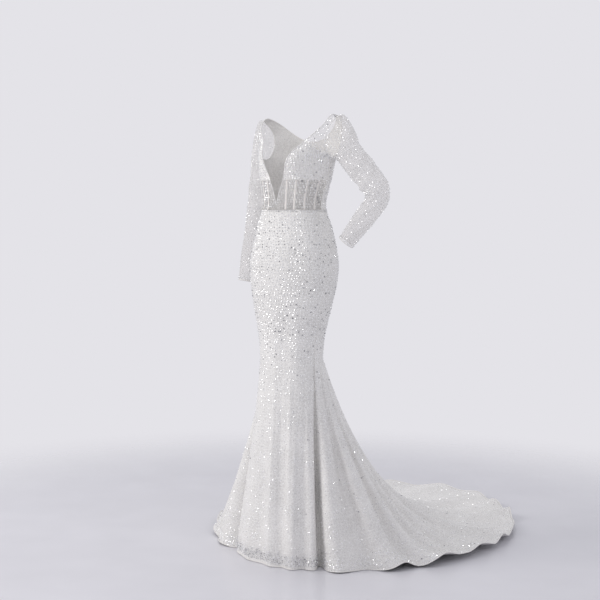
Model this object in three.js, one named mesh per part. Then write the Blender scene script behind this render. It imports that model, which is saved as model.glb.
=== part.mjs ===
// Mermaid gown, worn form: plunging beaded bodice, sheer boned midriff, long sheer sleeves, train.
// Millimetres, +Z up. The front faces -Y, the wearer's left is +X and the train runs toward +Y.
// The origin is the middle of the shoulder line, where the wearer carries the gown.
import * as THREE from 'three';

// Driving sizes
const SHOULDER_HEIGHT = 1530;
const FLOOR = -SHOULDER_HEIGHT;
const WALL = 2.0;
const SHEER_WALL = 1.5;
const SEAM_HALF_GAP = 0.2;
const WAIST = -326;
const UNDERBUST = -225;
const ARMHOLE_BOTTOM = -150;
const FLARE_START = -830;
const V_BOTTOM = -306;
const NECK_HALF_WIDTH = 148;
const BACK_NECK_DEPTH = 90;
const HEM_CLEARANCE = 2.6;
const LANDING = 290;
const LANDING_SHARPNESS = 1.12;
const DEG = Math.PI / 180;

// Horizontal sections of the gown: half width, depth to the front and back of the section's centre
const sections = [
  { z: 0, half: 178, front: 74, back: 74, centre: 0 },
  { z: -60, half: 180, front: 78, back: 74, centre: -2 },
  { z: -110, half: 165, front: 94, back: 86, centre: -6 },
  { z: ARMHOLE_BOTTOM, half: 150, front: 104, back: 90, centre: -10 },
  { z: -217, half: 138, front: 102, back: 88, centre: -18 },
  { z: -310, half: 120, front: 92, back: 88, centre: -30 },
  { z: -395, half: 146, front: 106, back: 112, centre: -32 },
  { z: -500, half: 168, front: 120, back: 130, centre: -34 },
  { z: -567, half: 165, front: 118, back: 128, centre: -36 },
  { z: -636, half: 152, front: 110, back: 116, centre: -40 },
  { z: -708, half: 135, front: 100, back: 104, centre: -44 },
  { z: -763, half: 124, front: 93, back: 95, centre: -46 },
  { z: FLARE_START, half: 119, front: 90, back: 92, centre: -46 },
];

// Half width of the neckline's opening in front, from the shoulder down the plunge
const neckline = [
  { z: 0, half: NECK_HALF_WIDTH },
  { z: -30, half: 144 },
  { z: -60, half: 126 },
  { z: -88, half: 101 },
  { z: -115, half: 80 },
  { z: -150, half: 57 },
  { z: UNDERBUST, half: 29 },
  { z: -266, half: 13 },
  { z: V_BOTTOM, half: 0 },
];

// Distance of the armhole edge from the centre, up to the shoulder tip
const armhole = [
  { z: ARMHOLE_BOTTOM, half: 150 },
  { z: -125, half: 148 },
  { z: -90, half: 149 },
  { z: -50, half: 155 },
  { z: 0, half: 173 },
];

// Plan of the hem on the floor: where the column at each body angle ends, front 0, wearer's left +
const hemOutline = [
  { angle: -180, turn: -180, radius: 1138 },
  { angle: -170, turn: -168, radius: 1150 },
  { angle: -160, turn: -158, radius: 1085 },
  { angle: -145, turn: -142, radius: 950 },
  { angle: -130, turn: -126, radius: 800 },
  { angle: -115, turn: -111, radius: 630 },
  { angle: -100, turn: -96, radius: 445 },
  { angle: -88, turn: -80, radius: 310 },
  { angle: -80, turn: -66, radius: 243 },
  { angle: -40, turn: -35, radius: 200 },
  { angle: 0, turn: 0, radius: 176 },
  { angle: 40, turn: 32, radius: 187 },
  { angle: 80, turn: 62, radius: 192 },
  { angle: 88, turn: 78, radius: 232 },
  { angle: 100, turn: 99, radius: 335 },
  { angle: 115, turn: 119, radius: 505 },
  { angle: 130, turn: 135, radius: 670 },
  { angle: 145, turn: 149, radius: 828 },
  { angle: 160, turn: 162, radius: 958 },
  { angle: 170, turn: 171, radius: 1050 },
  { angle: 180, turn: 180, radius: 1138 },
];

// Folds that run down the skirt from the flare: height or depth in mm, half width in degrees
const folds = [
  { angle: -64, height: 6, spread: 7, from: 0.1 },
  { angle: -40, height: 5, spread: 8, from: 0.25 },
  { angle: -14, height: -4, spread: 7, from: 0.2 },
  { angle: 5, height: 9, spread: 8, from: 0.12 },
  { angle: 23, height: -8, spread: 6.5, from: 0.12 },
  { angle: 41, height: 8, spread: 6.5, from: 0.2 },
  { angle: 56, height: -7, spread: 6, from: 0.25 },
  { angle: 70, height: 12, spread: 5, from: 0.12 },
  { angle: 80, height: -52, spread: 2.1, from: 0.08 },
  { angle: 87, height: 32, spread: 3.6, from: 0.1 },
  { angle: 95.5, height: -16, spread: 2.6, from: 0.2 },
  { angle: 102, height: 24, spread: 3.2, from: 0.15 },
  { angle: 108, height: -10, spread: 2.2, from: 0.3 },
  { angle: 113, height: 28, spread: 3.0, from: 0.12 },
  { angle: 121, height: 20, spread: 2.8, from: 0.28 },
  { angle: 129, height: 28, spread: 2.8, from: 0.18 },
  { angle: 137, height: 21, spread: 2.7, from: 0.32 },
  { angle: 145, height: 27, spread: 2.8, from: 0.2 },
  { angle: 153, height: 19, spread: 2.7, from: 0.38 },
  { angle: 161, height: 26, spread: 2.8, from: 0.22 },
  { angle: 170, height: 20, spread: 2.7, from: 0.35 },
  { angle: 180, height: 24, spread: 3, from: 0.25 },
  { angle: -80, height: -42, spread: 2.3, from: 0.08 },
  { angle: -88, height: 26, spread: 3.4, from: 0.12 },
  { angle: -98, height: 24, spread: 3.2, from: 0.18 },
  { angle: -108, height: 27, spread: 3.0, from: 0.15 },
  { angle: -118, height: 21, spread: 2.8, from: 0.28 },
  { angle: -127, height: 27, spread: 2.8, from: 0.2 },
  { angle: -136, height: 20, spread: 2.7, from: 0.35 },
  { angle: -145, height: 26, spread: 2.8, from: 0.2 },
  { angle: -154, height: 19, spread: 2.7, from: 0.4 },
  { angle: -163, height: 26, spread: 2.8, from: 0.25 },
  { angle: -171, height: 19, spread: 2.7, from: 0.35 },
];

// Waves where the train's edge lifts off the floor: height in mm, half width in degrees
const ruffles = [
  { angle: 105, height: 21, spread: 2.0 },
  { angle: 116, height: 19, spread: 1.9 },
  { angle: 126, height: 18, spread: 1.9 },
  { angle: 137, height: 17, spread: 1.8 },
  { angle: 149, height: 13, spread: 1.8 },
  { angle: 161, height: 15, spread: 1.8 },
  { angle: 173, height: 13, spread: 1.8 },
  { angle: -173, height: 13, spread: 1.8 },
  { angle: -161, height: 15, spread: 1.8 },
  { angle: -148, height: 14, spread: 1.8 },
  { angle: -136, height: 16, spread: 1.8 },
  { angle: -124, height: 15, spread: 1.9 },
  { angle: -112, height: 17, spread: 1.9 },
  { angle: -101, height: 13, spread: 2.0 },
];

// Arms' paths through the sleeves, with the sleeve's half width at each point
const leftArm = {
  side: 1,
  root: [200, 10, -130],
  elbow: [319, 42, -275],
  cuff: [205, -2, -432],
  widths: [46, 48, 45, 38, 35, 29],
};
const rightArm = {
  side: -1,
  root: [-195, 20, -170],
  elbow: [-214, 18, -318],
  cuff: [-232, -28, -574],
  widths: [40, 41, 38, 34, 32, 27],
};
const ARM_DEPTH_RATIO = 0.88;
const ELBOW_ROUNDING = 46;

// Cups
const CUP_OUT = 24;
const CUP_X = 70;
const CUP_Z = -152;
const CUP_SPREAD_X = 38;
const CUP_SPREAD_Z = 38;

// Boning channels, by angle from the centre front
const BONE_ANGLES = [19, 34, 52, 72];
const BONE_WIDTH = 9;
const BONE_THICKNESS = 1.5;
const BONE_LIFT = 0.4;

const IVORY = 0xf1efec;
const SHEER = 0xdcd9d5;
const BONE = 0xe9e3dc;

const clamp01 = (value) => Math.min(1, Math.max(0, value));
const smooth = (value) => {
  const t = clamp01(value);
  return t * t * (3 - 2 * t);
};
const lerp = (a, b, t) => a + (b - a) * t;

// Smooth value of one column of a table, with the rows in order of their key, either way up
function sample(table, key, column, at) {
  const rising = table[table.length - 1][key] > table[0][key];
  const rows = rising ? table : [...table].reverse();
  const last = rows.length - 1;
  if (at <= rows[0][key]) return rows[0][column];
  if (at >= rows[last][key]) return rows[last][column];
  let i = 0;
  while (at > rows[i + 1][key]) i += 1;
  const slope = (j) => {
    const a = rows[Math.max(0, j - 1)];
    const b = rows[Math.min(last, j + 1)];
    return (b[column] - a[column]) / (b[key] - a[key]);
  };
  const span = rows[i + 1][key] - rows[i][key];
  const t = (at - rows[i][key]) / span;
  const t2 = t * t;
  const t3 = t2 * t;
  return (2 * t3 - 3 * t2 + 1) * rows[i][column] + (t3 - 2 * t2 + t) * span * slope(i)
    + (3 * t2 - 2 * t3) * rows[i + 1][column] + (t3 - t2) * span * slope(i + 1);
}

// The gown's outer surface above the flare, at a body angle in degrees and a height
function bodyPoint(angle, z) {
  const a = angle * DEG;
  const half = sample(sections, 'z', 'half', z);
  const front = Math.cos(a) > 0;
  const shoulderRound = Math.sqrt(1 - (1 - clamp01(-z / 70)) ** 2);
  const depth = sample(sections, 'z', front ? 'front' : 'back', z) * shoulderRound;
  const x = half * Math.sin(a);
  let y = sample(sections, 'z', 'centre', z) - depth * Math.cos(a);
  if (front) {
    const across = (Math.abs(x) - CUP_X) / CUP_SPREAD_X;
    const up = (z - CUP_Z) / CUP_SPREAD_Z;
    y -= CUP_OUT * Math.cos(a) * Math.exp(-(across * across + up * up) / 2);
  }
  const shoulderSlope = 0.25 * Math.max(0, Math.abs(x) - 120) * (1 - clamp01(-z / 120));
  return new THREE.Vector3(x, y, z - shoulderSlope);
}

const angleAt = (half, z) => Math.asin(Math.min(1, half / sample(sections, 'z', 'half', z))) / DEG;
const frontNeckAngle = (z) => (z <= V_BOTTOM ? 0 : angleAt(sample(neckline, 'z', 'half', z), z));
const armholeAngle = (z) => (z <= ARMHOLE_BOTTOM ? 90 : angleAt(sample(armhole, 'z', 'half', z), z));
const backNeckAngle = (z) => {
  const rise = clamp01((z + BACK_NECK_DEPTH) / BACK_NECK_DEPTH);
  return angleAt(NECK_HALF_WIDTH * Math.sqrt(rise), z);
};

// Height of the cup's top edge, from the neckline (0) to the underarm (1)
const cupTop = (s) => lerp(-92, ARMHOLE_BOTTOM, Math.max(0, s) ** 1.1);

// The skirt's foot on the floor for one body angle
function hemPoint(angle) {
  const turn = sample(hemOutline, 'angle', 'turn', angle) * DEG;
  const radius = sample(hemOutline, 'angle', 'radius', angle);
  return new THREE.Vector3(radius * Math.sin(turn), -radius * Math.cos(turn), FLOOR + HEM_CLEARANCE);
}

// One column of the flare, a curve from the thigh down and out to the hem
function flareBase(angle, t) {
  const top = bodyPoint(angle, FLARE_START);
  const foot = hemPoint(angle);
  const reach = Math.hypot(foot.x - top.x, foot.y - top.y);
  const drop = top.z - foot.z;
  const train = smooth((reach - 140) / 360);
  const landing = lerp(0.66 * reach, Math.min(LANDING, 0.6 * reach), train) / reach;
  const early = 0.3 * landing;
  const u = 1 - t;
  const along = 3 * u * u * t * early + 3 * u * t * t * landing + t * t * t;
  const left = u * u * u + 3 * u * u * t * 0.66 + 3 * u * t * t * lerp(0.3, 0, train);
  const z = foot.z + drop * left ** lerp(1, LANDING_SHARPNESS, train);
  return new THREE.Vector3(lerp(top.x, foot.x, along), lerp(top.y, foot.y, along), z);
}

// The way a surface faces at one place, from points a little to each side of it
function facing(surface, angle, level, angleStep, levelStep) {
  const across = surface(angle + angleStep, level).sub(surface(angle - angleStep, level));
  const up = surface(angle, level + levelStep).sub(surface(angle, level - levelStep));
  return across.cross(up).normalize();
}

const wrapped = (angle) => ((angle + 540) % 360) - 180;

// How far the folds push the skirt out at a body angle, t down the flare from 0 to 1
function foldHeight(angle, t) {
  let total = 0;
  for (const fold of folds) {
    const away = wrapped(angle - fold.angle) / fold.spread;
    const grown = smooth((t - fold.from) / (0.75 - fold.from));
    total += fold.height * grown * Math.exp(-away * away / 2);
  }
  return total;
}

// How far the train's edge lifts off the floor, t down the flare from 0 to 1
function ruffleHeight(angle, t) {
  const grown = smooth((t - 0.84) / 0.16);
  let total = 0;
  for (const wave of ruffles) {
    const away = wrapped(angle - wave.angle) / wave.spread;
    total += wave.height * Math.exp(-away * away / 2);
  }
  return grown * total;
}

// The whole skirt: v from 0 at the waist to 1 at the flare and 2 at the hem
function skirtPoint(angle, v) {
  if (v <= 1) return bodyPoint(angle, lerp(WAIST, FLARE_START, v));
  const t = Math.min(1, v - 1);
  const point = flareBase(angle, t);
  const low = Math.max(0.02, Math.min(0.98, t));
  const normal = facing(flareBase, angle, low, 0.5, -0.01);
  const height = foldHeight(angle, t);
  point.addScaledVector(normal, height);
  const tuck = 14 * smooth((t - 0.9) / 0.1) * (1 - smooth((Math.abs(angle) - 60) / 25));
  point.y += tuck * Math.cos(angle * DEG);
  point.x -= tuck * Math.sin(angle * DEG);
  point.z = Math.max(point.z, FLOOR + HEM_CLEARANCE) + ruffleHeight(angle, t);
  return point;
}

function meshFrom(name, vertices, triangles, color, roughness) {
  const geometry = new THREE.BufferGeometry();
  geometry.setAttribute('position', new THREE.Float32BufferAttribute(vertices.flatMap((p) => [p.x, p.y, p.z]), 3));
  geometry.setIndex(triangles);
  geometry.computeVertexNormals();
  const mesh = new THREE.Mesh(geometry, new THREE.MeshStandardMaterial({ color, roughness, metalness: 0 }));
  mesh.name = name;
  return mesh;
}

// A closed wall from a grid of outer and inner points, rows first. Ringed grids join their last column
// to their first.
function wallFrom(outer, inner, ringed) {
  const rows = outer.length;
  const columns = outer[0].length;
  const vertices = [...outer.flat(), ...inner.flat()];
  const out = (i, j) => i * columns + (j % columns);
  const inn = (i, j) => rows * columns + out(i, j);
  const triangles = [];
  const quad = (a, b, c, d) => triangles.push(a, b, c, a, c, d);
  const spans = ringed ? columns : columns - 1;
  for (let i = 0; i < rows - 1; i += 1) {
    for (let j = 0; j < spans; j += 1) {
      quad(out(i, j), out(i + 1, j), out(i + 1, j + 1), out(i, j + 1));
      quad(inn(i, j), inn(i, j + 1), inn(i + 1, j + 1), inn(i + 1, j));
    }
    if (!ringed) {
      quad(out(i, 0), inn(i, 0), inn(i + 1, 0), out(i + 1, 0));
      quad(out(i, columns - 1), out(i + 1, columns - 1), inn(i + 1, columns - 1), inn(i, columns - 1));
    }
  }
  for (let j = 0; j < spans; j += 1) {
    quad(out(0, j), out(0, j + 1), inn(0, j + 1), inn(0, j));
    quad(out(rows - 1, j), inn(rows - 1, j), inn(rows - 1, j + 1), out(rows - 1, j + 1));
  }
  return { vertices, triangles };
}

// Turns the triangles over where they face inward
function facingOut({ vertices, triangles }) {
  let volume = 0;
  for (let i = 0; i < triangles.length; i += 3) {
    const [a, b, c] = [vertices[triangles[i]], vertices[triangles[i + 1]], vertices[triangles[i + 2]]];
    volume += a.dot(b.clone().cross(c));
  }
  if (volume >= 0) return triangles;
  const turned = [];
  for (let i = 0; i < triangles.length; i += 3) turned.push(triangles[i], triangles[i + 2], triangles[i + 1]);
  return turned;
}

// A panel of cloth: place(u, v) gives the body angle and level of each grid point on a surface. The wall
// lies behind the surface, or in front of it by lift, and stops short of its neighbours at the seams.
function panel(name, surface, place, us, vs, options) {
  const { thickness, color, levelStep, roughness = 0.8, lift = 0 } = options;
  const { flatTop = false, flatFoot = false, ridge = 0 } = options;
  const at = (u, v) => surface(...place(u, v));
  const du = (us[us.length - 1] - us[0]) * 0.004;
  const dv = (vs[vs.length - 1] - vs[0]) * 0.004;
  const outer = [];
  const inner = [];
  vs.forEach((v, i) => {
    const [top, foot] = [i === 0, i === vs.length - 1];
    const row = us.map((u, j) => {
      const point = at(u, v);
      const normal = facing(surface, ...place(u, v), 0.4, levelStep);
      if ((flatTop && top) || (flatFoot && foot)) normal.setZ(0).normalize();
      if (ridge && top) normal.set(0, 0, 1);
      const across = at(u + du, v).sub(at(u - du, v)).normalize();
      const down = at(u, v + dv).sub(at(u, v - dv)).normalize();
      if (j === 0) point.addScaledVector(across, SEAM_HALF_GAP);
      if (j === us.length - 1) point.addScaledVector(across, -SEAM_HALF_GAP);
      if (top && flatTop) point.z -= SEAM_HALF_GAP;
      if (top && !flatTop && !ridge) point.addScaledVector(down, SEAM_HALF_GAP);
      if (foot && flatFoot) point.z += SEAM_HALF_GAP;
      if (foot && !flatFoot) point.addScaledVector(down, -SEAM_HALF_GAP);
      if (top && ridge) point.y += ridge * SEAM_HALF_GAP;
      return { point, normal };
    });
    const shifted = (distance) => row.map((p) => p.point.clone().addScaledVector(p.normal, distance));
    outer.push(shifted(lift ? lift + thickness : 0));
    inner.push(shifted(lift || -thickness));
  });
  const wall = wallFrom(outer, inner, false);
  return meshFrom(name, wall.vertices, facingOut(wall), color, roughness);
}

const steps = (from, to, count) => Array.from({ length: count + 1 }, (_, i) => lerp(from, to, i / count));

// Rows down the armhole from the shoulder tip, shared by yoke, back and sleeve
const armholeRows = [0, 0.03, 0.1, 0.22, 0.38, 0.55, 0.72, 0.87, 1];

// Grid places on the front bodice: s from the neckline to the side, v between two edges
const frontPlace = (side, upper, lower) => (s, v) => {
  const z = Math.min(0, lerp(upper(s), lower(s), v));
  return [side * lerp(frontNeckAngle(z), armholeAngle(z), s), z];
};
const backPlace = (side) => (s, z) => {
  const height = Math.min(0, z);
  return [side * (180 - lerp(backNeckAngle(height), armholeAngle(height), s)), height];
};

const BODY_STEP = 0.8;

function bodice(side, word) {
  const across = steps(0, 1, 9);
  const top = () => 0;
  const under = () => UNDERBUST;
  const waist = () => WAIST;
  const solid = { thickness: WALL, color: IVORY, levelStep: BODY_STEP };
  const sheer = { thickness: SHEER_WALL, color: SHEER, roughness: 0.6, levelStep: BODY_STEP };
  const backRows = [...armholeRows.map((t) => t * ARMHOLE_BOTTOM), -175, -200, -230, -260, -285, WAIST];
  const pieces = [
    panel(`yoke_${word}`, bodyPoint, frontPlace(side, top, cupTop), across, armholeRows,
      { ...sheer, ridge: -1 }),
    panel(`cup_${word}`, bodyPoint, frontPlace(side, cupTop, under), across, steps(0, 1, 7),
      { ...solid, flatFoot: true }),
    panel(`midriff_${word}`, bodyPoint, frontPlace(side, under, waist), across, steps(0, 1, 4),
      { ...sheer, flatTop: true, flatFoot: true }),
    panel(`back_${word}`, bodyPoint, backPlace(side), across, backRows,
      { ...solid, ridge: 1, flatFoot: true }),
  ];
  BONE_ANGLES.forEach((angle, i) => {
    const half = BONE_WIDTH / 2 / sample(sections, 'z', 'half', (UNDERBUST + WAIST) / 2) / DEG;
    pieces.push(panel(`bone_${word}_${i + 1}`, bodyPoint, (a, z) => [side * a, z],
      [angle - half, angle, angle + half], steps(UNDERBUST - 3, WAIST + 3, 4),
      { thickness: BONE_THICKNESS, color: BONE, levelStep: BODY_STEP, lift: BONE_LIFT, flatTop: true,
        flatFoot: true }));
  });
  return pieces;
}

// The arm's path with a rounded elbow
function armPath(arm) {
  const [root, elbow, cuff] = [arm.root, arm.elbow, arm.cuff].map((p) => new THREE.Vector3(...p));
  const before = elbow.clone().add(root.clone().sub(elbow).setLength(ELBOW_ROUNDING));
  const after = elbow.clone().add(cuff.clone().sub(elbow).setLength(ELBOW_ROUNDING));
  const path = new THREE.CurvePath();
  path.add(new THREE.LineCurve3(root, before));
  path.add(new THREE.QuadraticBezierCurve3(before, elbow, after));
  path.add(new THREE.LineCurve3(after, cuff));
  return path;
}

// The armhole's edge as a loop, from the underarm up the front and down the back
function armholeLoop(side) {
  const heights = armholeRows.map((t) => t * ARMHOLE_BOTTOM);
  const front = [...heights].reverse().map((z) => bodyPoint(side * armholeAngle(z), z));
  const back = heights.slice(1, -1).map((z) => bodyPoint(side * (180 - armholeAngle(z)), z));
  return [...front, ...back];
}

const SLEEVE_CAP_RINGS = 4;
const SLEEVE_RINGS = 18;
const CAP_BULGE = 20;

function sleeve(name, arm) {
  const loop = armholeLoop(arm.side);
  const count = loop.length;
  const path = armPath(arm);
  const ringAt = (t) => {
    const centre = path.getPointAt(t);
    const along = path.getTangentAt(t);
    const e1 = new THREE.Vector3(0, 1, 0).addScaledVector(along, -along.y).normalize();
    const e2 = along.clone().cross(e1).multiplyScalar(arm.side);
    const place = t * (arm.widths.length - 1);
    const k = Math.min(arm.widths.length - 2, Math.floor(place));
    const width = lerp(arm.widths[k], arm.widths[k + 1], place - k);
    return loop.map((_, j) => {
      const around = 2 * Math.PI * j / count;
      return centre.clone().addScaledVector(e2, -width * Math.cos(around))
        .addScaledVector(e1, -arm.side * arm.side * width * ARM_DEPTH_RATIO * Math.sin(around));
    });
  };
  const first = ringAt(0);
  const rings = [];
  for (let i = 0; i <= SLEEVE_CAP_RINGS; i += 1) {
    const w = i / SLEEVE_CAP_RINGS;
    rings.push(loop.map((edge, j) => {
      const outward = new THREE.Vector3(arm.side, 0, 0);
      const start = edge.clone().addScaledVector(outward, 2.5 * SEAM_HALF_GAP);
      const top = Math.max(0, -Math.cos(2 * Math.PI * j / count));
      return start.lerp(first[j], smooth(w * 0.5 + w * w * 0.5))
        .addScaledVector(new THREE.Vector3(arm.side * 0.8, 0, 0.6), CAP_BULGE * 4 * w * (1 - w) * top);
    }));
  }
  for (let i = 1; i <= SLEEVE_RINGS - SLEEVE_CAP_RINGS; i += 1) rings.push(ringAt(i / (SLEEVE_RINGS - SLEEVE_CAP_RINGS)));
  const inner = rings.map((ring, i) => ring.map((point, j) => {
    const next = ring[(j + 1) % count].clone().sub(ring[(j + count - 1) % count]);
    const ahead = rings[Math.min(rings.length - 1, i + 1)][j].clone().sub(rings[Math.max(0, i - 1)][j]);
    const normal = next.cross(ahead).normalize();
    const middle = ring.reduce((sum, p) => sum.add(p), new THREE.Vector3()).divideScalar(count);
    if (normal.dot(point.clone().sub(middle)) < 0) normal.negate();
    if (i === 0) normal.setX(0).normalize();
    return point.clone().addScaledVector(normal, -SHEER_WALL);
  }));
  const wall = wallFrom(rings, inner, true);
  return meshFrom(name, wall.vertices, facingOut(wall), SHEER, 0.6);
}

// Rows of the skirt, closer together where it curves
const skirtRows = [...steps(0, 1, 7), ...steps(1, 2, 16).slice(1)];

function skirt() {
  const options = { thickness: WALL, color: IVORY, levelStep: -0.004, flatTop: true };
  const place = (angle, v) => [angle, v];
  const halfFront = [0, 6, 12, 18, 24, 30, 36, 42, 48, 54, 60, 65, 69, 72.5, 75.5, 77.5, 79, 80];
  const front = [...halfFront.slice(1).map((a) => -a).reverse(), ...halfFront];
  const side = [80, 81, 82.5, 84.5, 87, 89.5, ...steps(92, 180, 38)];
  return [
    panel('skirt_front', skirtPoint, place, front, skirtRows, options),
    panel('skirt_left', skirtPoint, place, side, skirtRows, options),
    panel('skirt_right', skirtPoint, place, side.map((a) => -a).reverse(), skirtRows, options),
  ];
}

const group = new THREE.Group();
group.add(...bodice(1, 'left'), ...bodice(-1, 'right'));
group.add(sleeve('sleeve_left', leftArm), sleeve('sleeve_right', rightArm));
group.add(...skirt());

export default group;
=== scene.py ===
"""White mermaid gown in its worn form: beaded cloth, sheer net, boning, crystals, edgings and stage."""

import math

import bmesh
import bpy
import numpy as np
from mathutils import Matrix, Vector


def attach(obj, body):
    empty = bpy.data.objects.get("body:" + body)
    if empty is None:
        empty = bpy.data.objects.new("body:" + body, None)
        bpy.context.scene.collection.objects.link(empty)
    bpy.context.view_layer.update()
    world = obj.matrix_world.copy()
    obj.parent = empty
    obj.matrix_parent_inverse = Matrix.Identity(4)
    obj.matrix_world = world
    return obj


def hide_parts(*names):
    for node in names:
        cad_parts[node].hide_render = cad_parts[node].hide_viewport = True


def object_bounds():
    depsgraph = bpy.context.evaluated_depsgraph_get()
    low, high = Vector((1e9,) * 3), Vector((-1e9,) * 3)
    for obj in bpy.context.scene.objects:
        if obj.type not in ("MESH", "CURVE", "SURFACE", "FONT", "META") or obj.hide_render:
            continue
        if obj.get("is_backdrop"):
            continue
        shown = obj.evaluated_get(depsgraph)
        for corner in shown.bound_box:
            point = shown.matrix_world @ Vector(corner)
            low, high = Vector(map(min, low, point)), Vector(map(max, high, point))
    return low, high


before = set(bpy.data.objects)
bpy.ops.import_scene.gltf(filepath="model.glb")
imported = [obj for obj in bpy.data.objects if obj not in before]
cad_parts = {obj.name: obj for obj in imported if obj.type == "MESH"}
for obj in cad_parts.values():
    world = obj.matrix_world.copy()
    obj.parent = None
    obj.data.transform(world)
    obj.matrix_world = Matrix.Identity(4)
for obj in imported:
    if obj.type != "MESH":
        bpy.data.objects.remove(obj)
CAD_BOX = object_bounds()

bl_info = {
    "name": "Mermaid Gown",
    "version": (1, 0, 0),
    "blender": (4, 5, 0),
    "location": "View3D > Sidebar > Gown",
    "description": "Builds a beaded mermaid gown with a train, piece by piece",
    "category": "Add Mesh",
}

# Cutting table, in millimetres: the same sizes as the gown's solids
MM = 0.001
FLOOR = -1530.0
WAIST = -326.0
UNDERBUST = -225.0
ARMHOLE_BOTTOM = -150.0
FLARE_START = -830.0
V_BOTTOM = -306.0
NECK_HALF_WIDTH = 148.0
BACK_NECK_DEPTH = 90.0
HEM_CLEARANCE = 2.6
LANDING = 290.0
LANDING_SHARPNESS = 1.12
CUP_OUT, CUP_X, CUP_Z, CUP_SPREAD = 24.0, 70.0, -152.0, 38.0
CAP_BULGE = 20.0
ARM_DEPTH_RATIO = 0.88
ELBOW_ROUNDING = 46.0
CAP_SHARE = 4 / 18
TRAIN_START, TRAIN_FULL = 140.0, 500.0
SHOULDER_ROUNDING = 70
SHOULDER_SLOPE, SLOPE_DEPTH = 0.25, 120
CUP_CENTRE_TOP = -92
BODY_MIDDLE = (0, -40)
FOLDS_FULL, RUFFLES_START = 0.75, 0.84
FRONT_TUCK, TUCK_START = 14, 0.9
RIPPLE_HEIGHT, RIPPLE_RATE = 1.4, 47
HEM_LINE_LIFT = 0.6
EDGE_POINTS = 160
# Beads: how far they stand off the cloth, stray, tilt and flatten, how far in from an edge they start,
# how close their rows are, the gaps between seed beads, and the gap and width in each row or band
BEAD_LIFT, SEED_LIFT = 0.55, 0.35
BEAD_JITTER, SEED_JITTER = 0.14, 0.32
BEAD_TILT, BEAD_FLATNESS = 0.18, 0.72
BEAD_INSET, ROW_SPACING = 0.004, 0.87
SEED_GAPS = {"skirt": 13.0, "sleeve": 17.0, "bodice": 12.0}
ROWS = {"hem": (6.4, 3.4), "cuff": (6.0, 3.4), "cup": (5.2, 3.6), "waist": (5.0, 3.2), "neck": (4.6, 3.2)}
# Camera, in metres, radians and millimetres of lens
CAMERA_DISTANCE, CAMERA_HEIGHT = 4.143, -0.338
CAMERA_TURN, CAMERA_DIP = math.radians(41), math.radians(4.085)
CAMERA_LENS, CAMERA_SENSOR = 72.31, 36
# Boning channels: body angles of their middles and half their width, in degrees
BONE_ANGLES = (19, 34, 52, 72)
BONE_HALF_ANGLE = 2.0


def table(columns, *rows):
    """Named columns from rows of numbers, in order of the first column."""
    names = columns.split()
    rows = sorted(rows)
    return {name: np.array([row[i] for row in rows], float) for i, name in enumerate(names)}


# Body sections: height, half width, depth to the front and the back, and how far the middle leans
SECTIONS = table(
    "z half front back centre",
    (0, 178, 74, 74, 0),
    (-60, 180, 78, 74, -2),
    (-110, 165, 94, 86, -6),
    (ARMHOLE_BOTTOM, 150, 104, 90, -10),
    (-217, 138, 102, 88, -18),
    (-310, 120, 92, 88, -30),
    (-395, 146, 106, 112, -32),
    (-500, 168, 120, 130, -34),
    (-567, 165, 118, 128, -36),
    (-636, 152, 110, 116, -40),
    (-708, 135, 100, 104, -44),
    (-763, 124, 93, 95, -46),
    (FLARE_START, 119, 90, 92, -46),
)
# Half widths of the neckline and the armhole at each height
NECKLINE = table(
    "z half",
    (0, NECK_HALF_WIDTH), (-30, 144), (-60, 126), (-88, 101), (-115, 80), (-150, 57),
    (UNDERBUST, 29), (-266, 13), (V_BOTTOM, 0),
)
ARMHOLE = table("z half", (ARMHOLE_BOTTOM, 150), (-125, 148), (-90, 149), (-50, 155), (0, 173))
# Hem: body angle, and the direction and distance that it reaches on the floor
HEM = table(
    "angle turn radius",
    (-180, -180, 1138), (-170, -168, 1150), (-160, -158, 1085), (-145, -142, 950), (-130, -126, 800),
    (-115, -111, 630), (-100, -96, 445), (-88, -80, 310), (-80, -66, 243), (-40, -35, 200),
    (0, 0, 176), (40, 32, 187), (80, 62, 192), (88, 78, 232), (100, 99, 335), (115, 119, 505),
    (130, 135, 670), (145, 149, 828), (160, 162, 958), (170, 171, 1050), (180, 180, 1138),
)
# Folds of the flare: body angle, height, half width in degrees, and start (0 flare, 1 hem)
FOLDS = table(
    "angle height spread begin",
    (-64, 6, 7, 0.1), (-40, 5, 8, 0.25), (-14, -4, 7, 0.2), (5, 9, 8, 0.12),
    (23, -8, 6.5, 0.12), (41, 8, 6.5, 0.2), (56, -7, 6, 0.25), (70, 12, 5, 0.12),
    (80, -52, 2.1, 0.08), (87, 32, 3.6, 0.1), (95.5, -16, 2.6, 0.2), (102, 24, 3.2, 0.15),
    (108, -10, 2.2, 0.3), (113, 28, 3, 0.12), (121, 20, 2.8, 0.28), (129, 28, 2.8, 0.18),
    (137, 21, 2.7, 0.32), (145, 27, 2.8, 0.2), (153, 19, 2.7, 0.38), (161, 26, 2.8, 0.22),
    (170, 20, 2.7, 0.35), (180, 24, 3, 0.25), (-80, -42, 2.3, 0.08), (-88, 26, 3.4, 0.12),
    (-98, 24, 3.2, 0.18), (-108, 27, 3, 0.15), (-118, 21, 2.8, 0.28), (-127, 27, 2.8, 0.2),
    (-136, 20, 2.7, 0.35), (-145, 26, 2.8, 0.2), (-154, 19, 2.7, 0.4), (-163, 26, 2.8, 0.25),
    (-171, 19, 2.7, 0.35),
)
# Waves that lift the hem: body angle, height and half width in degrees
RUFFLES = table(
    "angle height spread",
    (105, 21, 2), (116, 19, 1.9), (126, 18, 1.9), (137, 17, 1.8), (149, 13, 1.8), (161, 15, 1.8),
    (173, 13, 1.8), (-173, 13, 1.8), (-161, 15, 1.8), (-148, 14, 1.8), (-136, 16, 1.8), (-124, 15, 1.9),
    (-112, 17, 1.9), (-101, 13, 2),
)
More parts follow.
